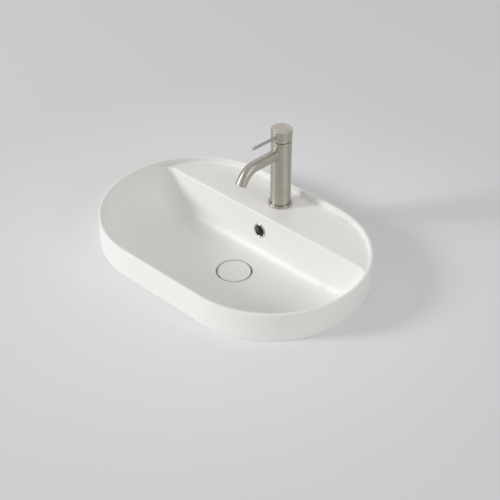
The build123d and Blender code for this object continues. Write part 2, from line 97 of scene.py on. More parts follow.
def cast(start, towards, depth, reach=700.0):
    """Where rays from start meet the surface at that depth, by halving the span 44 times."""
    low = np.zeros(towards.shape[:-1])
    high = np.full(towards.shape[:-1], reach)
    for _ in range(44):
        middle = (low + high) / 2
        inside = depth_in_bowl(start + towards * middle[..., None]) > depth
        low = np.where(inside, middle, low)
        high = np.where(inside, high, middle)
    return start + towards * low[..., None]


def unit(v):
    return v / np.linalg.norm(v, axis=-1, keepdims=True)


def with_level(plan, level):
    return np.concatenate([plan, np.broadcast_to(level, plan.shape[:-1])[..., None]], axis=-1)


def put_surface(name, points, close_rows=False):
    """Mesh of a grid of points in millimetres, rows by columns, with its seams merged.

    Each row is a closed ring. The UV map holds the distance run around the rings and along
    the columns, in metres.
    """
    rows, columns = points.shape[:2]
    number = np.arange(rows * columns).reshape(rows, columns)
    if close_rows:
        number = np.concatenate([number, number[:1]])
    number = np.concatenate([number, number[:, :1]], axis=1)
    quads = np.stack([number[:-1, :-1], number[:-1, 1:], number[1:, 1:], number[1:, :-1]], axis=-1)
    mesh = bpy.data.meshes.new(name)
    mesh.from_pydata(points.reshape(-1, 3) * MM, [], quads.reshape(-1, 4))
    looped = np.append(points, points[:, :1], axis=1)
    turned = np.append(looped, looped[:1], axis=0) if close_rows else looped
    around = np.linalg.norm(np.diff(looped, axis=1), axis=2).max(axis=0)
    along = np.linalg.norm(np.diff(turned, axis=0), axis=2).max(axis=1)
    u, v = np.meshgrid(np.append(0, np.cumsum(around)), np.append(0, np.cumsum(along)))
    run = np.stack([u, v], axis=-1) * MM
    corners = np.stack([run[:-1, :-1], run[:-1, 1:], run[1:, 1:], run[1:, :-1]], axis=2)
    mesh.uv_layers.new(name="run").data.foreach_set("uv", corners.ravel())
    work = bmesh.new()
    work.from_mesh(mesh)
    bmesh.ops.remove_doubles(work, verts=work.verts, dist=2e-6)
    bmesh.ops.recalc_face_normals(work, faces=work.faces)
    work.to_mesh(mesh)
    work.free()
    piece = bpy.data.objects.new(name, mesh)
    bpy.context.scene.collection.objects.link(piece)
    finish_shading(mesh)
    return piece


def finish_shading(mesh):
    mesh.polygons.foreach_set("use_smooth", np.ones(len(mesh.polygons), dtype=bool))
    mesh.set_sharp_from_angle(angle=SHARP_ANGLE)


def cut(piece, points):
    """Cuts the closed solid of a grid of points out of a piece."""
    tool = put_surface("drill", points)
    change = piece.modifiers.new("hole", "BOOLEAN")
    change.operation, change.solver, change.object = "DIFFERENCE", "EXACT", tool
    bpy.context.view_layer.update()
    whole = piece.evaluated_get(bpy.context.evaluated_depsgraph_get())
    mesh = bpy.data.meshes.new_from_object(whole)
    piece.modifiers.clear()
    piece.data = mesh
    finish_shading(mesh)
    bpy.data.objects.remove(tool)


def hex_linear(code):
    """Linear colour, with alpha 1, of an sRGB hex code."""
    parts = [int(code[i : i + 2], 16) / 255 for i in (1, 3, 5)]
    return [c / 12.92 if c <= 0.04045 else ((c + 0.055) / 1.055) ** 2.4 for c in parts] + [1.0]


def add_node(tree, kind, settings=(), values=(), links=()):
    """Adds a node, sets its properties and sockets, and links other nodes' sockets to it."""
    node = tree.nodes.new(kind)
    for key, value in dict(settings).items():
        setattr(node, key, value)
    for key, value in dict(values).items():
        node.inputs[key].default_value = value
    for key, (source, output) in dict(links).items():
        tree.links.new(source.outputs[output], node.inputs[key])
    return node


def new_material(name):
    material = bpy.data.materials.new(name)
    material.use_nodes = True
    return material, material.node_tree, material.node_tree.nodes["Principled BSDF"]


def add_noise(tree, place, scale, detail, roughness=0.5):
    """Noise texture of that many cells to a unit of the place it is read at."""
    return add_node(
        tree,
        "ShaderNodeTexNoise",
        values={"Scale": scale, "Detail": detail, "Roughness": roughness},
        links={"Vector": place},
    )


def stretch(tree, place, factors):
    """Place times a factor on each axis, so that a noise read there is drawn out."""
    return add_node(tree, "ShaderNodeVectorMath", {"operation": "MULTIPLY"}, {1: factors}, {0: place})


def blend_colour(tree, shader, factor, low, high):
    """Base colour that runs between two hex codes with a socket that runs from 0 to 1."""
    blend = add_node(tree, "ShaderNodeMix", settings={"data_type": "RGBA"}, links={0: factor})
    blend.inputs[6].default_value = hex_linear(low)
    blend.inputs[7].default_value = hex_linear(high)
    tree.links.new(blend.outputs[2], shader.inputs["Base Color"])


def blend_roughness(tree, shader, factor, low, high):
    """Roughness that runs between two values with a socket that runs from 0 to 1."""
    blend = add_node(
        tree, "ShaderNodeMapRange", values={"To Min": low, "To Max": high}, links={"Value": factor}
    )
    tree.links.new(blend.outputs[0], shader.inputs["Roughness"])


def emboss(tree, shader, height, strength, distance):
    """Bump of the surface by a socket's height. The distance is in metres."""
    bump = add_node(
        tree,
        "ShaderNodeBump",
        values={"Strength": strength, "Distance": distance},
        links={"Height": height},
    )
    tree.links.new(bump.outputs[0], shader.inputs["Normal"])


# Matt white glaze on vitreous china, sprayed and fired: an even satin white with a faint
# orange-peel wave about 5 mm long and a fine tooth that keeps highlights wide and soft.
glaze, tree, shader = new_material("matt_white_glaze")
place = add_node(tree, "ShaderNodeTexCoord")
wave = add_noise(tree, (place, "Object"), 200.0, 2.0)
tooth = add_noise(tree, (place, "Object"), 2500.0, 2.0)
blend_colour(tree, shader, (wave, "Fac"), "#F0EFEC", "#F4F3F0")
blend_roughness(tree, shader, (tooth, "Fac"), 0.36, 0.46)
soft = add_node(
    tree,
    "ShaderNodeBump",
    values={"Strength": 0.06, "Distance": 0.0002},
    links={"Height": (wave, "Fac")},
)
fine = add_node(
    tree,
    "ShaderNodeBump",
    values={"Strength": 0.08, "Distance": 0.00004},
    links={"Height": (tooth, "Fac"), "Normal": (soft, "Normal")},
)
tree.links.new(fine.outputs[0], shader.inputs["Normal"])
shader.inputs["IOR"].default_value = 1.5

# The columns of the shell stand on the bowl's brow, evenly spaced along it: round the dish's
# end, front and other end, and then along the ridge with its two rounded corners.
corner_y = RIDGE_Y - CREASE / math.cos(LEAN)
corner_x = HALF_STRAIGHT + math.sqrt((BOWL_REACH - CREASE) ** 2 - corner_y**2)
cusp = math.atan2(corner_y, corner_x - HALF_STRAIGHT)
side = np.linspace(cusp, -math.pi / 2, 400)
right_end = np.stack([HALF_STRAIGHT + BOWL_REACH * np.cos(side), BOWL_REACH * np.sin(side)], axis=1)
bend = np.linspace(math.pi / 2, cusp, 80)
corner = np.stack([corner_x + CREASE * np.cos(bend), corner_y + CREASE * np.sin(bend)], axis=1)
half_brow = np.concatenate([[[0.0, RIDGE_Y]], corner, right_end[1:], [[0.0, -BOWL_REACH]]])
brow = np.concatenate([half_brow, half_brow[-2:0:-1] * [-1, 1], half_brow[:1]])
run = np.concatenate([[0.0], np.cumsum(np.linalg.norm(np.diff(brow, axis=0), axis=1))])
stops = np.linspace(0.0, run[-1], COLUMNS, endpoint=False) + run[-1] / COLUMNS / 2
brow = np.stack([np.interp(stops, run, brow[:, i]) for i in (0, 1)], axis=1)
drain = np.array([0.0, DRAIN_Y])
away = unit(brow - drain)
rounding_foot = LANDING - RIDGE_ROUND * (1 - math.sin(LEAN))
start = with_level(np.broadcast_to(drain, away.shape), rounding_foot)
brow = cast(start, with_level(away, 0.0), 0.0)[:, :2]

# Behind the two cusps the landing opens between the brow and the rim. There the columns are
# spread along the rim in step with their place along the brow.
landing_run = 2 * (corner_x + CREASE * (math.pi / 2 - cusp))
share = np.minimum(stops, run[-1] - stops) / (landing_run / 2)
arc_run = BOWL_REACH * (math.pi / 2 - cusp)
along = np.clip(share, 0, 1) * (HALF_STRAIGHT + arc_run)
turn = math.pi / 2 - np.maximum(along - HALF_STRAIGHT, 0) / BOWL_REACH
rim_way = np.stack([np.cos(turn), np.sin(turn)], axis=1)
rim_core = np.stack([np.minimum(along, HALF_STRAIGHT), 0 * along], axis=1)
core_x = np.clip(brow[:, 0], -HALF_STRAIGHT, HALF_STRAIGHT)
front_core = np.stack([core_x, 0 * core_x], axis=1)
behind = share < 1
mirror_x = np.stack([np.where(stops > run[-1] / 2, -1.0, 1.0), np.ones(COLUMNS)], axis=1)
rim_way = np.where(behind[:, None], rim_way * mirror_x, unit(brow - front_core))
rim_core = np.where(behind[:, None], rim_core * mirror_x, front_core)


def rim_ring(reach, level):
    """Ring at that reach from the pill's core and that level, one point for each column."""
    return with_level(rim_core + np.broadcast_to(reach, (COLUMNS,))[:, None] * rim_way, level)


def arc_rows(radius, inner, middle, start_angle, end_angle, steps):
    """Rows on an arc in the upright plane of each column, from one angle to another."""
    angles = np.linspace(start_angle, end_angle, steps)
    return [rim_ring(inner + radius * math.cos(a), middle + radius * math.sin(a)) for a in angles]


# The level way out of the hollow at each point of the brow, from the depth on either side of it.
brow_points = with_level(brow, rounding_foot)
slope = [
    depth_in_bowl(brow_points + np.array(side)) - depth_in_bowl(brow_points - np.array(side))
    for side in ([0.2, 0, 0], [0, 0.2, 0])
]
brow_way = -unit(np.stack(slope, axis=1))
# The landing's room between brow and rim limits the ridge's round and the hollow at the rim's foot.
room = BOWL_REACH - np.hypot(brow[:, 0] - core_x, brow[:, 1])
room = np.where(behind, room, 0.0)
width = np.minimum(RIDGE_ROUND, 0.6 * room)
fillet = np.minimum(LANDING_FILLET, 0.2 * room)

rows = []
# Recess floor, its wall and the small round where the bowl's floor turns down into it.
for radius in np.linspace(OUTLET_RADIUS, RECESS_RADIUS, 4):
    rows.append(with_level(drain + radius * away, RECESS_FLOOR))
lip_reach = RECESS_RADIUS + RECESS_ROUND
lip_plan = drain + lip_reach * away
lip_level = FLOOR_LEVEL + FLOOR_ARC - np.sqrt(FLOOR_ARC**2 - lip_plan[:, 1] ** 2)
for angle in np.radians([180, 157.5, 135, 112.5]):
    plan = drain + (lip_reach + RECESS_ROUND * math.cos(angle)) * away
    rows.append(with_level(plan, lip_level - RECESS_ROUND * (1 - math.sin(angle))))
rows.append(with_level(lip_plan, lip_level))


def bowl_rows(top, depth, guide_level, inner_reach, floor_steps, wall_steps):
    """Rows of the bowl's surface at that depth, from inner_reach out to the top points.

    Rays leave a point over the drain for a guide that runs level and then up to the top.
    """
    out = top[:, :2] - drain
    reach = np.linalg.norm(out, axis=1)
    way = out / reach[:, None]
    made = []
    for part in np.linspace(0, 1, floor_steps + 1)[1:]:
        plan = drain + (inner_reach + (reach - inner_reach) * part)[:, None] * way
        made.append(with_level(plan, guide_level))
    for part in np.linspace(0, 1, wall_steps + 1)[1:-1]:
        made.append(with_level(top[:, :2], guide_level + (top[:, 2] - guide_level) * part))
    aim = np.stack(made)
    return list(cast(OVER_DRAIN, unit(aim - OVER_DRAIN), depth)) + [top]


rows += bowl_rows(brow_points, 0.0, FLOOR_LEVEL, lip_reach, 34, 34)
# The ridge's rounding fades out towards the cusps, and so does the hollow at the rim's foot.
rim_line = rim_ring(BOWL_REACH, 0.0)[:, :2]
ridge_end = np.where(behind[:, None], brow + width[:, None] * brow_way, rim_line)
for angle in np.radians(np.linspace(0, 90, 9))[1:]:
    part, rise = 1 - math.cos(angle), math.sin(angle)
    plan = brow + (ridge_end - brow) * part
    rows.append(with_level(plan, rounding_foot + (LANDING - rounding_foot) * rise))
fillet_foot = rim_ring(BOWL_REACH - fillet, LANDING)[:, :2]
for part in np.linspace(0, 1, 13)[1:]:
    rows.append(with_level(ridge_end + (fillet_foot - ridge_end) * part, LANDING))
for angle in np.radians(np.linspace(-90, 0, 7))[1:]:
    reach = BOWL_REACH - fillet + fillet * math.cos(angle)
    rows.append(rim_ring(reach, LANDING + fillet + fillet * math.sin(angle)))
# Rim: inner lip, flat top, outer lip, outer wall and the eased edge of the foot.
rows.append(rim_ring(BOWL_REACH, (LANDING + fillet + RIM_HEIGHT - RIM_ROUND) / 2))
lip = RIM_HEIGHT - RIM_ROUND
rows += arc_rows(RIM_ROUND, BOWL_REACH + RIM_ROUND, lip, math.pi, math.pi / 2, 7)
rows += arc_rows(RIM_ROUND, END_RADIUS - RIM_ROUND, lip, math.pi / 2, 0.0, 7)
for level in np.linspace(lip, FOOT_EASE, 6)[1:-1]:
    rows.append(rim_ring(END_RADIUS, level))
rows += arc_rows(FOOT_EASE, END_RADIUS - FOOT_EASE, FOOT_EASE, 0.0, -math.pi / 2, 4)


def skin_between(low, high, points_at):
    """Halves each column's span between two values 40 times, where it meets the outer skin."""
    for _ in range(40):
        middle = (low + high) / 2
        inside = depth_in_bowl(points_at(middle)) > -WALL
        low, high = np.where(inside, low, middle), np.where(inside, middle, high)
    return low, high


# Underside: the foot's seat, the inner face of the rim's foot or the plug under the counter,
# the ceiling under the landing, and then the outside of the bowl down to the waste boss.
foot_reach = END_RADIUS - FOOT_WIDTH
foot_plan = rim_ring(foot_reach, 0.0)[:, :2]
foot_low, foot_high = np.full(COLUMNS, -10.0), np.full(COLUMNS, LANDING_UNDER)
skin_level = skin_between(foot_low, foot_high, lambda level: rim_ring(foot_reach, level))[1]
turning = np.where(skin_level > LANDING_UNDER - 0.01, LANDING_UNDER, skin_level)
rows.append(rim_ring((END_RADIUS + foot_reach) / 2, 0.0))
for part in np.linspace(0, 1, 7):
    rows.append(rim_ring(foot_reach, turning * part))
inward = unit(drain - foot_plan)
to_boss = np.linalg.norm(drain - foot_plan, axis=1) - BOSS_RADIUS
skin_reach = skin_between(
    np.zeros(COLUMNS), to_boss, lambda gone: with_level(foot_plan + gone[:, None] * inward, turning)
)[0]
reach_in = np.where(turning < LANDING_UNDER, 0.0, skin_reach)
for part in np.linspace(0, 1, 11)[1:]:
    rows.append(with_level(foot_plan + (reach_in * part)[:, None] * inward, turning))
shell_top = rows[-1]
boss_ring = drain + BOSS_RADIUS * unit(shell_top[:, :2] - drain)
under = bowl_rows(shell_top, -WALL, FLOOR_LEVEL - WALL, BOSS_RADIUS + 2, 20, 20)
rows += under[-2::-1]
boss_level = FLOOR_LEVEL + FLOOR_ARC - np.sqrt((FLOOR_ARC + WALL) ** 2 - boss_ring[:, 1] ** 2)
for part in np.linspace(0, 1, 4):
    rows.append(with_level(boss_ring, boss_level * (1 - part) + BOSS_FOOT * part))
boss_way = unit(boss_ring - drain)
for part in np.linspace(0, 1, 4)[1:]:
    way = unit(boss_way * (1 - part) + away * part)
    radius = BOSS_RADIUS + (OUTLET_RADIUS - BOSS_RADIUS) * part
    rows.append(with_level(drain + radius * way, BOSS_FOOT))
for level in np.linspace(BOSS_FOOT, RECESS_FLOOR, 4)[1:-1]:
    rows.append(with_level(drain + OUTLET_RADIUS * away, level))
basin_shell = put_surface("basin_shell", np.stack(rows), close_rows=True)
basin_shell.data.materials.append(glaze)


def lathe(profile, steps=96, centre=(0.0, 0.0)):
    """Grid of a profile of (radius, level) points turned about an upright axis."""
    profile = np.array(profile, dtype=float)
    angle = np.linspace(0, 2 * np.pi, steps, endpoint=False)
    x = centre[0] + profile[:, :1] * np.cos(angle)
    y = centre[1] + profile[:, :1] * np.sin(angle)
    return np.stack([x, y, np.broadcast_to(profile[:, 1:], x.shape)], axis=-1)


def cylinder(radius, low, high, steps, centre=(0.0, 0.0)):
    """Grid of a closed upright cylinder between two levels."""
    return lathe([(0, low), (radius, low), (radius, high), (0, high)], steps, centre)


def aimed(points, origin, direction):
    """Moves a grid made along Z so that Z points in the direction given, from the origin."""
    z = unit(np.array(direction, dtype=float))
    x = np.array([1.0, 0.0, 0.0])
    return points @ np.stack([x, np.cross(z, x), z]) + np.array(origin)


# The tap hole through the landing and the overflow hole through the rear wall are cut in the wet
# clay before firing. The chamber round the waste, where the overflow joins it, is hollow cast.
TAP_Y, TAP_HOLE_RADIUS = 143.4, 17.5
OVERFLOW_LEVEL, OVERFLOW_RADIUS = 14.0, 13.0
CHAMBER_RADIUS, CHAMBER_LOW, CHAMBER_HIGH = 30.0, -86.3, -66.3
overflow_y = RIDGE_Y + (OVERFLOW_LEVEL - LANDING) * math.tan(LEAN)
overflow_place = (0, overflow_y, OVERFLOW_LEVEL)
overflow_way = (0.0, -math.cos(LEAN), math.sin(LEAN))
cut(basin_shell, cylinder(TAP_HOLE_RADIUS, 30, 60, 72, (0.0, TAP_Y)))
cut(basin_shell, aimed(cylinder(OVERFLOW_RADIUS, -15, 10, 72), overflow_place, overflow_way))
cut(basin_shell, cylinder(CHAMBER_RADIUS, CHAMBER_LOW, CHAMBER_HIGH, 72, (0.0, DRAIN_Y)))
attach(basin_shell, "fixture")
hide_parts("basin")

# Overflow duct. A channel of the same clay, cast on behind the rear wall, that leads from the
# overflow hole down to the waste outlet. No glaze reaches it, so it stays a dull biscuit.
biscuit, tree, shader = new_material("unglazed_fired_clay")
place = add_node(tree, "ShaderNodeTexCoord")
grit = add_noise(tree, (place, "Object"), 900.0, 4.0)
blend_colour(tree, shader, (grit, "Fac"), "#BDB5A9", "#D2CCC2")
emboss(tree, shader, (grit, "Fac"), 0.4, 0.0001)
shader.inputs["Roughness"].default_value = 0.85
DUCT_HALF, DUCT_WALL, DUCT_BACK, DUCT_BEND = 22.0, 7.0, 28.0, 9.5
DUCT_TOP, DUCT_KNEE, DUCT_FOOT = 41.0, -23.15, (45.7, -93.3)
DUCT_ROWS = 60


def rounded_path(points, radius, steps=10):
    """Polyline with each inner corner replaced by an arc of that radius that touches both runs."""
    points = np.array(points, dtype=float)
    made = [points[:1]]
    for before, corner, after in zip(points[:-2], points[1:-1], points[2:]):
        inward, outward = unit(before - corner), unit(after - corner)
        half = math.acos(float(np.clip(inward @ outward, -1, 1))) / 2
        centre = corner + unit(inward + outward) * radius / math.sin(half)
        turns = np.linspace(-1, 1, steps)[:, None] * (math.pi / 2 - half)
        across = unit(outward - inward)
        made.append(centre + radius * (np.sin(turns) * across - np.cos(turns) * unit(inward + outward)))
    return np.concatenate(made + [points[-1:]])


wall_y = RIDGE_Y + (np.array([DUCT_TOP, DUCT_KNEE]) - LANDING) * math.tan(LEAN) + DUCT_BACK
back_line = rounded_path([(wall_y[0], DUCT_TOP), (wall_y[1], DUCT_KNEE), DUCT_FOOT], DUCT_BEND)
spread = np.linspace(0, 1, DUCT_ROWS)
share = np.append(0, np.cumsum(np.linalg.norm(np.diff(back_line, axis=0), axis=1)))
outer = np.stack([np.interp(spread, share / share[-1], back_line[:, i]) for i in (0, 1)], axis=1)
tangent = unit(np.gradient(outer, axis=0))
inner = outer + DUCT_WALL * np.stack([tangent[:, 1], -tangent[:, 0]], axis=1)
# Its two side walls are rooted half way through the thickness of the bowl's own wall.
aim = np.stack([0 * spread, outer[:, 0], outer[:, 1]], axis=1) - OVER_DRAIN
root = cast(OVER_DRAIN, unit(aim), -WALL / 2)[:, 1:]
root[0] = [root[0, 0], DUCT_TOP]
section = [
    (-1, DUCT_HALF + DUCT_WALL, root),
    (-1, DUCT_HALF + DUCT_WALL, outer),
    (1, DUCT_HALF + DUCT_WALL, outer),
    (1, DUCT_HALF + DUCT_WALL, root),
    (1, DUCT_HALF, root),
    (1, DUCT_HALF, inner),
    (-1, DUCT_HALF, inner),
    (-1, DUCT_HALF, root),
]
channel = np.stack(
    [np.insert(line, 0, side * half, axis=1) for side, half, line in section], axis=1
)
ends = [np.broadcast_to(row.mean(axis=0), (1, 8, 3)) for row in (channel[0, 5:7], channel[-1, 5:7])]
overflow_duct = put_surface("overflow_duct", np.concatenate([ends[0], channel, ends[1]]))
overflow_duct.data.materials.append(biscuit)
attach(overflow_duct, "fixture")
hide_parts("basin")

# Waste cover. A disc of the same white-glazed china, its upper edge eased, that lies flush with
# the bowl's floor and hides the waste. A plate is bonded in the recess under it.
COVER_RADIUS, COVER_UNDER, COVER_ROUND = 34.0, -52.3, 1.5
POCKET_RADIUS, POCKET_LEVEL = 24.0, COVER_UNDER + 2


def eased(corner_r, corner_z, radius, start, end, steps=5):
    """Points of the quarter round that takes off a corner, between two angles in degrees."""
    middle = math.radians((start + end) / 2)
    centre_r = corner_r - math.copysign(radius, math.cos(middle))
    centre_z = corner_z - math.copysign(radius, math.sin(middle))
    angles = np.radians(np.linspace(start, end, steps))
    return [(centre_r + radius * math.cos(a), centre_z + radius * math.sin(a)) for a in angles]


profile = [(0, POCKET_LEVEL), (POCKET_RADIUS, POCKET_LEVEL), (POCKET_RADIUS, COVER_UNDER)]
profile += eased(COVER_RADIUS, COVER_UNDER, 0.4, -90, 0)
profile += eased(COVER_RADIUS, FLOOR_LEVEL, COVER_ROUND, 0, 90, 7)
profile += [(r, FLOOR_LEVEL) for r in (30, 24, 18, 12, 6, 0)]
waste_cover = put_surface("waste_cover_disc", lathe(profile, 128, (0.0, DRAIN_Y)))
waste_cover.data.materials.append(glaze)
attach(waste_cover, "waste_plug")
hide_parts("waste_cover")

# Overflow ring. Turned brass with polished chrome plate: a thin rounded flange on the glaze and
# a sleeve that is pushed into the hole. Chrome gives a clear, slightly blue mirror.
chrome, tree, shader = new_material("polished_chrome_plate")
place = add_node(tree, "ShaderNodeTexCoord")
film = add_noise(tree, (place, "Object"), 260.0, 3.0)
blend_colour(tree, shader, (film, "Fac"), "#C9CCD0", "#D6D8DA")
blend_roughness(tree, shader, (film, "Fac"), 0.04, 0.11)
shader.inputs["Metallic"].default_value = 1.0
RING_RADIUS, RING_BORE, RING_THICK = 15.5, 11.8, 1.6
SLEEVE_RADIUS, SLEEVE_LENGTH = 12.9, 8.0
profile = eased(RING_BORE, RING_THICK, 0.8, 180, 90) + eased(RING_RADIUS, RING_THICK, 1.2, 90, 0)
profile += [(RING_RADIUS, 0), (SLEEVE_RADIUS, 0), (SLEEVE_RADIUS, -SLEEVE_LENGTH)]
profile += [(RING_BORE, -SLEEVE_LENGTH), (RING_BORE, -SLEEVE_LENGTH / 2)]
ring = aimed(lathe(profile, 96), overflow_place, overflow_way)
overflow_trim = put_surface("overflow_trim", ring, close_rows=True)
overflow_trim.data.materials.append(chrome)
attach(overflow_trim, "fixture")
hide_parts("overflow_ring")

# Tap body. A straight brass column, bored for the cartridge and the inlets, nickel plated and
# brushed round its axis. The fine level scratches draw highlights out into upright bands.
nickel, tree, shader = new_material("brushed_nickel_plate")
run = add_node(tree, "ShaderNodeUVMap", settings={"uv_map": "run"})
# Real scratches are about 0.1 mm apart. These are drawn 1 and 4 mm apart, so that they show.
stretched = stretch(tree, (run, "UV"), (18.0, 800.0, 1.0))
scratch = add_noise(tree, (stretched, 0), 1.0, 3.0, roughness=0.7)
broad = stretch(tree, (run, "UV"), (10.0, 260.0, 1.0))
band = add_noise(tree, (broad, 0), 1.0, 2.0)
both = add_node(
    tree,
    "ShaderNodeMath",
    settings={"operation": "MULTIPLY_ADD"},
    values={1: 0.5},
    links={0: (scratch, "Fac"), 2: (band, "Fac")},
)
grade = add_node(
    tree,
    "ShaderNodeMapRange",
    values={"From Min": 0.55, "From Max": 0.95},
    links={"Value": (both, 0)},
)
blend_colour(tree, shader, (grade, 0), "#BCB7AD", "#C9C4BA")
blend_roughness(tree, shader, (grade, 0), 0.42, 0.34)
emboss(tree, shader, (scratch, "Fac"), 0.05, 0.00003)
lay = add_node(tree, "ShaderNodeTangent", {"direction_type": "UV_MAP", "uv_map": "run"})
tree.links.new(lay.outputs[0], shader.inputs["Tangent"])
shader.inputs["Metallic"].default_value = 1.0
shader.inputs["Anisotropic"].default_value = 0.75
shader.inputs["Anisotropic Rotation"].default_value = 0.25
BODY_RADIUS, BODY_LOW, BODY_HIGH = 21.0, 53.0, 204.0
BORE, BORE_FLOOR = 15.5, 160.0
INLET_X, INLET_Y, INLET_THREAD, INLET_BORE, INLET_SHOULDER = 6.5, TAP_Y - 5, 4.5, 3.0, 65.0
STUD_RADIUS, STUD_Y, STUD_TOP = 4.0, TAP_Y + 13, 68.0
BELOW_BODY = BODY_LOW - 3
SPOUT_RADIUS, SPOUT_BORE, SPOUT_LEVEL, SPOUT_RISE = 11.2, 8.3, 175.3, math.radians(2)
SPOUT_REACH, SPOUT_END_LEVEL, SPOUT_FALL, SPOUT_BEND = 119.1, 151.2, math.radians(56), 38.0
SEAT_START, SEAT_END, SPOUT_ROOT = 8.0, 40.0, 16.0
# Where the spout's rising run would meet its falling run, measured from the tap's axis.
corner_run = (SPOUT_END_LEVEL - SPOUT_LEVEL + math.tan(SPOUT_FALL) * SPOUT_REACH) / (
    math.tan(SPOUT_FALL) + math.tan(SPOUT_RISE)
)
spout_line = rounded_path(
    [
        (TAP_Y, SPOUT_LEVEL),
        (TAP_Y - corner_run, SPOUT_LEVEL + corner_run * math.tan(SPOUT_RISE)),
        (TAP_Y - SPOUT_REACH, SPOUT_END_LEVEL),
    ],
    SPOUT_BEND,
    40,
)


def tube(line, stations):
    """Grid of rings square to a line in the plane X = 0, from (distance along, radius) pairs.

    A ring's point lies at the radius times cos(turn) across, and sin(turn) in the plane.
    """
    stations = np.array(stations, dtype=float)
    gone = np.append(0, np.cumsum(np.linalg.norm(np.diff(line, axis=0), axis=1)))
    centre = np.stack([np.interp(stations[:, 0], gone, line[:, i]) for i in (0, 1)], axis=1)
    heading = unit(np.gradient(line, gone, axis=0))
    heading = unit(np.stack([np.interp(stations[:, 0], gone, heading[:, i]) for i in (0, 1)], axis=1))
    turn = np.linspace(0, 2 * np.pi, 96, endpoint=False)
    lift = np.sin(turn) * stations[:, 1:]
    x = np.cos(turn) * stations[:, 1:]
    y = centre[:, :1] - heading[:, 1:] * lift
    z = centre[:, 1:] + heading[:, :1] * lift
    return np.stack([x, y, z], axis=-1)


profile = [(0, BODY_LOW)] + eased(BODY_RADIUS, BODY_LOW, 0.3, -90, 0, 3)
profile += [(BODY_RADIUS, level) for level in np.linspace(BODY_LOW + 2, BODY_HIGH - 2, 40)]
profile += eased(BODY_RADIUS, BODY_HIGH, 0.5, 0, 90) + [(BORE, BODY_HIGH)]
profile += [(BORE, BORE_FLOOR), (0, BORE_FLOOR)]
tap_column = put_surface("tap_column", lathe(profile, 128, (0.0, TAP_Y)))
seat = [(SEAT_START, 0), (SEAT_START, SPOUT_RADIUS), (SEAT_END, SPOUT_RADIUS), (SEAT_END, 0)]
cut(tap_column, tube(spout_line, seat))
inlet = [(0, BELOW_BODY), (INLET_THREAD, BELOW_BODY), (INLET_THREAD, INLET_SHOULDER)]
inlet += [(INLET_BORE, INLET_SHOULDER), (INLET_BORE, BORE_FLOOR + 2), (0, BORE_FLOOR + 2)]
for side in (-INLET_X, INLET_X):
    cut(tap_column, lathe(inlet, 32, (side, INLET_Y)))
cut(tap_column, cylinder(STUD_RADIUS, BELOW_BODY, STUD_TOP, 32, (0.0, STUD_Y)))
tap_column.data.materials.append(nickel)
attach(tap_column, "fixture")
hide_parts("tap_body")

# Spout. A bent brass tube, set square into the column and plated and brushed with it. Its end
# is cut square and counterbored for the aerator.
COUNTERBORE, COUNTERBORE_DEPTH = 9.7, 10.8
end = float(np.linalg.norm(np.diff(spout_line, axis=0), axis=1).sum())
stations = [(gone, SPOUT_RADIUS) for gone in np.linspace(SPOUT_ROOT, end - 1, 70)]
stations += [(gone, radius) for radius, gone in eased(SPOUT_RADIUS, end, 0.5, 0, 90, 4)]
stations += [(end, COUNTERBORE + 0.2), (end - 0.2, COUNTERBORE)]
stations += [(end - COUNTERBORE_DEPTH, COUNTERBORE), (end - COUNTERBORE_DEPTH, SPOUT_BORE)]
stations += [(gone, SPOUT_BORE) for gone in np.linspace(end - 14, SPOUT_ROOT, 30)]
spout_tube = put_surface("spout_tube", tube(spout_line, stations), close_rows=True)
spout_tube.data.materials.append(nickel)
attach(spout_tube, "fixture")
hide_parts("tap_spout")

# Base ring. A loose turned washer round the column's foot, plated and brushed as the tap is. It
# covers the tap hole and leaves a thin dark gap to the column.
BASE_RADIUS, BASE_BORE, BASE_TOP = 25.0, 21.4, 57.0
profile = [(BASE_BORE, LANDING)] + eased(BASE_RADIUS, LANDING, 0.2, -90, 0, 3)
profile += eased(BASE_RADIUS, BASE_TOP, 1.0, 0, 90, 6) + eased(BASE_BORE, BASE_TOP, 0.4, 90, 180, 4)
base_trim = put_surface("base_trim", lathe(profile, 128, (0.0, TAP_Y)), close_rows=True)
base_trim.data.materials.append(nickel)
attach(base_trim, "fixture")
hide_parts("tap_base_ring")

# Handle cap. A turned brass cup with a thin skirt, plated and brushed. Its boss has a square
# socket for the stem, a hole in front for the lever and one behind for the grub screw.
CAP_RADIUS, CAP_LOW, CAP_HIGH, CAP_BORE, CAP_CEILING = 21.5, 205.8, 228.8, 19.4, 223.8
CAP_BOSS_RADIUS, CAP_BOSS_LOW = 7.0, 207.0
SOCKET_HALF, SOCKET_LOW, SOCKET_TOP = 3.05, 204.0, 222.1
LEVER_RADIUS, LEVER_RISE, LEVER_REACH, LEVER_LEVEL = 3.15, math.radians(3), 84.8, 216.4
SIDE_HOLE_START, SIDE_HOLE_END, GRUB_HOLE_RADIUS = 3.0, 30.0, 2.05
profile = [(0, CAP_BOSS_LOW), (CAP_BOSS_RADIUS, CAP_BOSS_LOW), (CAP_BOSS_RADIUS, CAP_CEILING)]
profile += [(CAP_BORE, CAP_CEILING), (CAP_BORE, CAP_LOW)]
profile += eased(CAP_RADIUS, CAP_LOW, 0.3, -90, 0, 3)
profile += [(CAP_RADIUS, level) for level in np.linspace(CAP_LOW + 2, CAP_HIGH - 2, 8)]
profile += eased(CAP_RADIUS, CAP_HIGH, 0.8, 0, 90, 6)
profile += [(r, CAP_HIGH) for r in (18, 15, 12, 9, 6, 3, 0)]
handle_cup = put_surface("handle_cup", lathe(profile, 128, (0.0, TAP_Y)))
square = SOCKET_HALF * np.array([(-1, -1), (1, -1), (1, 1), (-1, 1)])
levels = [(0, SOCKET_LOW), (1, SOCKET_LOW), (1, SOCKET_TOP), (0, SOCKET_TOP)]
cut(handle_cup, np.stack([with_level(square * wide + [0, TAP_Y], level) for wide, level in levels]))
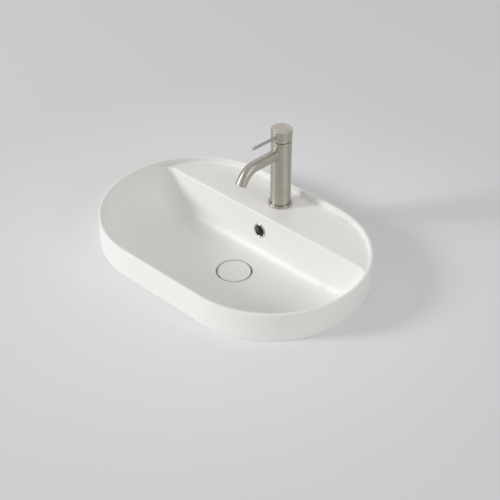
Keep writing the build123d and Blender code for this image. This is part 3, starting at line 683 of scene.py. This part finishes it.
lever_root = (0.0, TAP_Y, LEVER_LEVEL - CAP_RADIUS * math.tan(LEVER_RISE))
lever_way = (0.0, -math.cos(LEVER_RISE), math.sin(LEVER_RISE))
hole = cylinder(LEVER_RADIUS + 0.05, SIDE_HOLE_START, SIDE_HOLE_END, 48)
cut(handle_cup, aimed(hole, lever_root, lever_way))
hole = cylinder(GRUB_HOLE_RADIUS, SIDE_HOLE_START, SIDE_HOLE_END, 32)
cut(handle_cup, aimed(hole, (0.0, TAP_Y, LEVER_LEVEL), (0.0, 1.0, 0.0)))
handle_cup.data.materials.append(nickel)
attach(handle_cup, "handle")
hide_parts("handle_cap")

# Lever. A turned brass rod with a domed tip, plated and brushed with the cap and screwed into
# the hole in the front of its boss. It rises three degrees from root to tip.
LEVER_START = 3.3
profile = [(0, LEVER_START), (LEVER_RADIUS, LEVER_START)]
profile += [(LEVER_RADIUS, level) for level in np.linspace(6, LEVER_REACH - LEVER_RADIUS - 1, 30)]
profile += eased(LEVER_RADIUS, LEVER_REACH, LEVER_RADIUS, 0, 90, 12)
lever_rod = put_surface("lever_rod", aimed(lathe(profile, 48), lever_root, lever_way))
lever_rod.data.materials.append(nickel)
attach(lever_rod, "handle")
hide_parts("handle_lever")


def finish_nodes(material, *names):
    """Gives carried-over solids their material."""
    for name in names:
        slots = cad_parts[name].data.materials
        slots.clear()
        slots.append(material)


# Chrome-plated waste. The flanged tail, the backnut that pulls it down and the plate under the
# cover are turned brass with the same bright plate as the overflow ring.
finish_nodes(chrome, "waste_body", "waste_backnut", "waste_cover_carrier")

# Aerator. A turned and plated sleeve in the spout's end, with a moulded insert of fine cells
# that mixes air into the stream. The insert is acetal, as the waste's inner parts are.
end_way = unit(spout_line[-2] - spout_line[-1])
outlet, up_spout = (0.0, *spout_line[-1]), (0.0, *end_way)
AERATOR_BORE, AERATOR_INSET, AERATOR_TOP = 8.2, 0.6, 9.6
profile = eased(AERATOR_BORE, AERATOR_INSET, 0.4, 180, 270, 3)
profile += eased(COUNTERBORE, AERATOR_INSET, 0.4, -90, 0, 3)
profile += [(COUNTERBORE, 5), (COUNTERBORE, AERATOR_TOP)]
profile += [(AERATOR_BORE, AERATOR_TOP), (AERATOR_BORE, 5)]
sleeve = aimed(lathe(profile, 72), outlet, up_spout)
aerator_sleeve = put_surface("aerator_sleeve", sleeve, close_rows=True)
aerator_sleeve.data.materials.append(nickel)
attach(aerator_sleeve, "fixture")
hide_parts("aerator_housing")

# Seals. Black nitrile and EPDM rubber, moulded or punched from sheet: matt, with a fine grain
# left by the mould and a slight bloom that lightens it in patches.
rubber, tree, shader = new_material("moulded_black_rubber")
place = add_node(tree, "ShaderNodeTexCoord")
grain = add_noise(tree, (place, "Object"), 1500.0, 3.0)
bloom = add_noise(tree, (place, "Object"), 120.0, 2.0)
blend_colour(tree, shader, (bloom, "Fac"), "#1A1A19", "#2B2B29")
emboss(tree, shader, (grain, "Fac"), 0.3, 0.00005)
shader.inputs["Roughness"].default_value = 0.72
finish_nodes(
    rubber,
    "waste_flange_seal",
    "waste_lower_washer",
    "waste_plug_ring",
    "aerator_seal",
    "tap_base_gasket",
    "tap_rubber_washer",
    "cartridge_gasket",
)

# White plastic. Injection-moulded acetal: slippery, slightly waxy and translucent white, with
# the faint grain of the mould. It makes the click housing, plunger, slider and cartridge shells.
acetal, tree, shader = new_material("moulded_white_acetal")
place = add_node(tree, "ShaderNodeTexCoord")
flow = add_noise(tree, (place, "Object"), 220.0, 3.0)
blend_colour(tree, shader, (flow, "Fac"), "#DEDDD6", "#EAE9E4")
blend_roughness(tree, shader, (flow, "Fac"), 0.3, 0.42)
shader.inputs["IOR"].default_value = 1.48
finish_nodes(
    acetal,
    "waste_friction_washer",
    "waste_click_housing",
    "waste_plunger",
    "cartridge_base",
    "cartridge_slider",
    "cartridge_housing",
    "cartridge_carrier",
    "aerator_insert",
)

# Ceramic discs. Sintered alumina, lapped flat so that two faces seal on a film of grease: cream
# white, very smooth, with fine random lapping marks.
alumina, tree, shader = new_material("lapped_alumina")
place = add_node(tree, "ShaderNodeTexCoord")
lap = add_noise(tree, (place, "Object"), 3000.0, 4.0)
blend_colour(tree, shader, (lap, "Fac"), "#E2DDD0", "#EFEBE1")
blend_roughness(tree, shader, (lap, "Fac"), 0.12, 0.24)
shader.inputs["IOR"].default_value = 1.76
finish_nodes(alumina, "cartridge_fixed_disc", "cartridge_moving_disc")

# Steel parts. Drawn and turned stainless steel, left bright: grey, with drawing and turning
# marks a fraction of a millimetre apart that lie level on the upright parts.
steel, tree, shader = new_material("drawn_stainless_steel")
place = add_node(tree, "ShaderNodeTexCoord")
level = stretch(tree, (place, "Object"), (60.0, 60.0, 1600.0))
marks = add_noise(tree, (level, 0), 1.0, 3.0)
blend_colour(tree, shader, (marks, "Fac"), "#A4A4A2", "#BDBDBB")
blend_roughness(tree, shader, (marks, "Fac"), 0.24, 0.38)
shader.inputs["Metallic"].default_value = 1.0
finish_nodes(
    steel,
    "waste_spring",
    "tap_stud",
    "tap_plate_washer",
    "cartridge_pin",
    "cartridge_stem",
    "handle_grub_screw",
)

# Brass nuts. Free-cutting brass, turned and left unplated: yellow, with level tool marks and a
# thin brown tarnish in patches.
brass, tree, shader = new_material("turned_bare_brass")
place = add_node(tree, "ShaderNodeTexCoord")
level = stretch(tree, (place, "Object"), (40.0, 40.0, 1400.0))
marks = add_noise(tree, (level, 0), 1.0, 3.0)
patch = add_noise(tree, (place, "Object"), 180.0, 3.0)
blend_colour(tree, shader, (patch, "Fac"), "#B08A48", "#CDA862")
blend_roughness(tree, shader, (marks, "Fac"), 0.22, 0.36)
shader.inputs["Metallic"].default_value = 1.0
finish_nodes(brass, "tap_fixing_nut", "cartridge_nut")

# Camera, fitted to the basin's outline in the photograph. It stands at the front right and looks
# down. The focal length is in pixels of a picture that is as wide as PICTURE.
DISTANCE, FOCAL, PICTURE, SENSOR = 2257.81, 1114.049, 500.0, 36.0
AZIMUTH, ELEVATION = math.radians(42.784), math.radians(37.124)
target = np.array([18.043, 31.785, 0.0])
back = np.array([
    math.sin(AZIMUTH) * math.cos(ELEVATION),
    -math.cos(AZIMUTH) * math.cos(ELEVATION),
    math.sin(ELEVATION),
])
right = np.array([math.cos(AZIMUTH), math.sin(AZIMUTH), 0.0])
upward = np.cross(back, right)
lens = bpy.data.cameras.new("photograph_camera")
lens.sensor_width = SENSOR
lens.lens = FOCAL * SENSOR / PICTURE
lens.clip_end = 50.0
camera = bpy.data.objects.new("photograph_camera", lens)
bpy.context.scene.collection.objects.link(camera)
pose = np.eye(4)
pose[:3, 0], pose[:3, 1], pose[:3, 2] = right, upward, back
pose[:3, 3] = (target + DISTANCE * back) * MM
camera.matrix_world = mathutils.Matrix(pose.tolist())
bpy.context.scene.camera = camera

# Counter that the basin is set into, cut out inside the rim's foot. It is pale and dull, and its colour
# is painted a little darker away from the basin: a painted fall-off of the light round the basin. It
# belongs to the picture and not to the object.
COUNTER_CUT, COUNTER_FAR = 190.0, 40000.0
reach = np.concatenate([[COUNTER_CUT, 197.0, 230.0, 300.0], np.geomspace(400.0, COUNTER_FAR, 12)])
reach = reach[:, None]
turns = np.linspace(0, 2 * np.pi, 160, endpoint=False)
core = np.where(np.cos(turns) > 0, HALF_STRAIGHT, -HALF_STRAIGHT)
ground = with_level(np.stack([core + reach * np.cos(turns), reach * np.sin(turns)], axis=-1), 0.0)
counter = put_surface("counter", ground)
stone, tree, shader = new_material("pale_counter")
place = add_node(tree, "ShaderNodeTexCoord")
away_from_basin = add_node(
    tree, "ShaderNodeVectorMath", settings={"operation": "LENGTH"}, links={0: (place, "Object")}
)
painted_light_falloff = add_node(
    tree,
    "ShaderNodeMapRange",
    {"interpolation_type": "SMOOTHSTEP"},
    {"From Min": 0.25, "From Max": 0.75},
    {"Value": (away_from_basin, "Value")},
)
# Painted light: the colour runs from light near the basin to darker far off, a painted fall-off of the
# light.
blend_colour(tree, shader, (painted_light_falloff, 0), "#EFEEEF", "#E2E2E2")
shader.inputs["Roughness"].default_value = 0.9
shader.inputs["Specular IOR Level"].default_value = 0.1
counter.data.materials.append(stone)


# Lamps. A large softbox at the front left throws the soft shadows, and four weaker ones and a
# white surround fill them.
def add_lamp(name, place, size, power):
    """Round softbox that faces the basin, with its place and diameter in metres and its watts."""
    light = bpy.data.lights.new(name, "AREA")
    light.shape, light.size, light.energy = "DISK", size, power
    lamp = bpy.data.objects.new(name, light)
    bpy.context.scene.collection.objects.link(lamp)
    lamp.location = place
    lamp.rotation_euler = mathutils.Vector(place).to_track_quat("Z", "Y").to_euler()


add_lamp("key_softbox", (-4.14, -4.94, 2.74), 1.8, 235.0)
add_lamp("front_softbox", (0.47, -5.42, 2.54), 2.4, 26.0)
add_lamp("back_softbox", (-2.53, 2.72, 3.35), 2.4, 12.0)
add_lamp("top_softbox", (2.27, 0.61, 4.41), 2.4, 14.0)
add_lamp("side_softbox", (5.42, 0.47, 2.54), 2.4, 48.0)
world = bpy.data.worlds.new("studio")
bpy.context.scene.world = world
world.use_nodes = True
world.node_tree.nodes["Background"].inputs[0].default_value = hex_linear("#FFFFFF")
world.node_tree.nodes["Background"].inputs[1].default_value = 0.43
bpy.context.scene.view_settings.view_transform = "Standard"
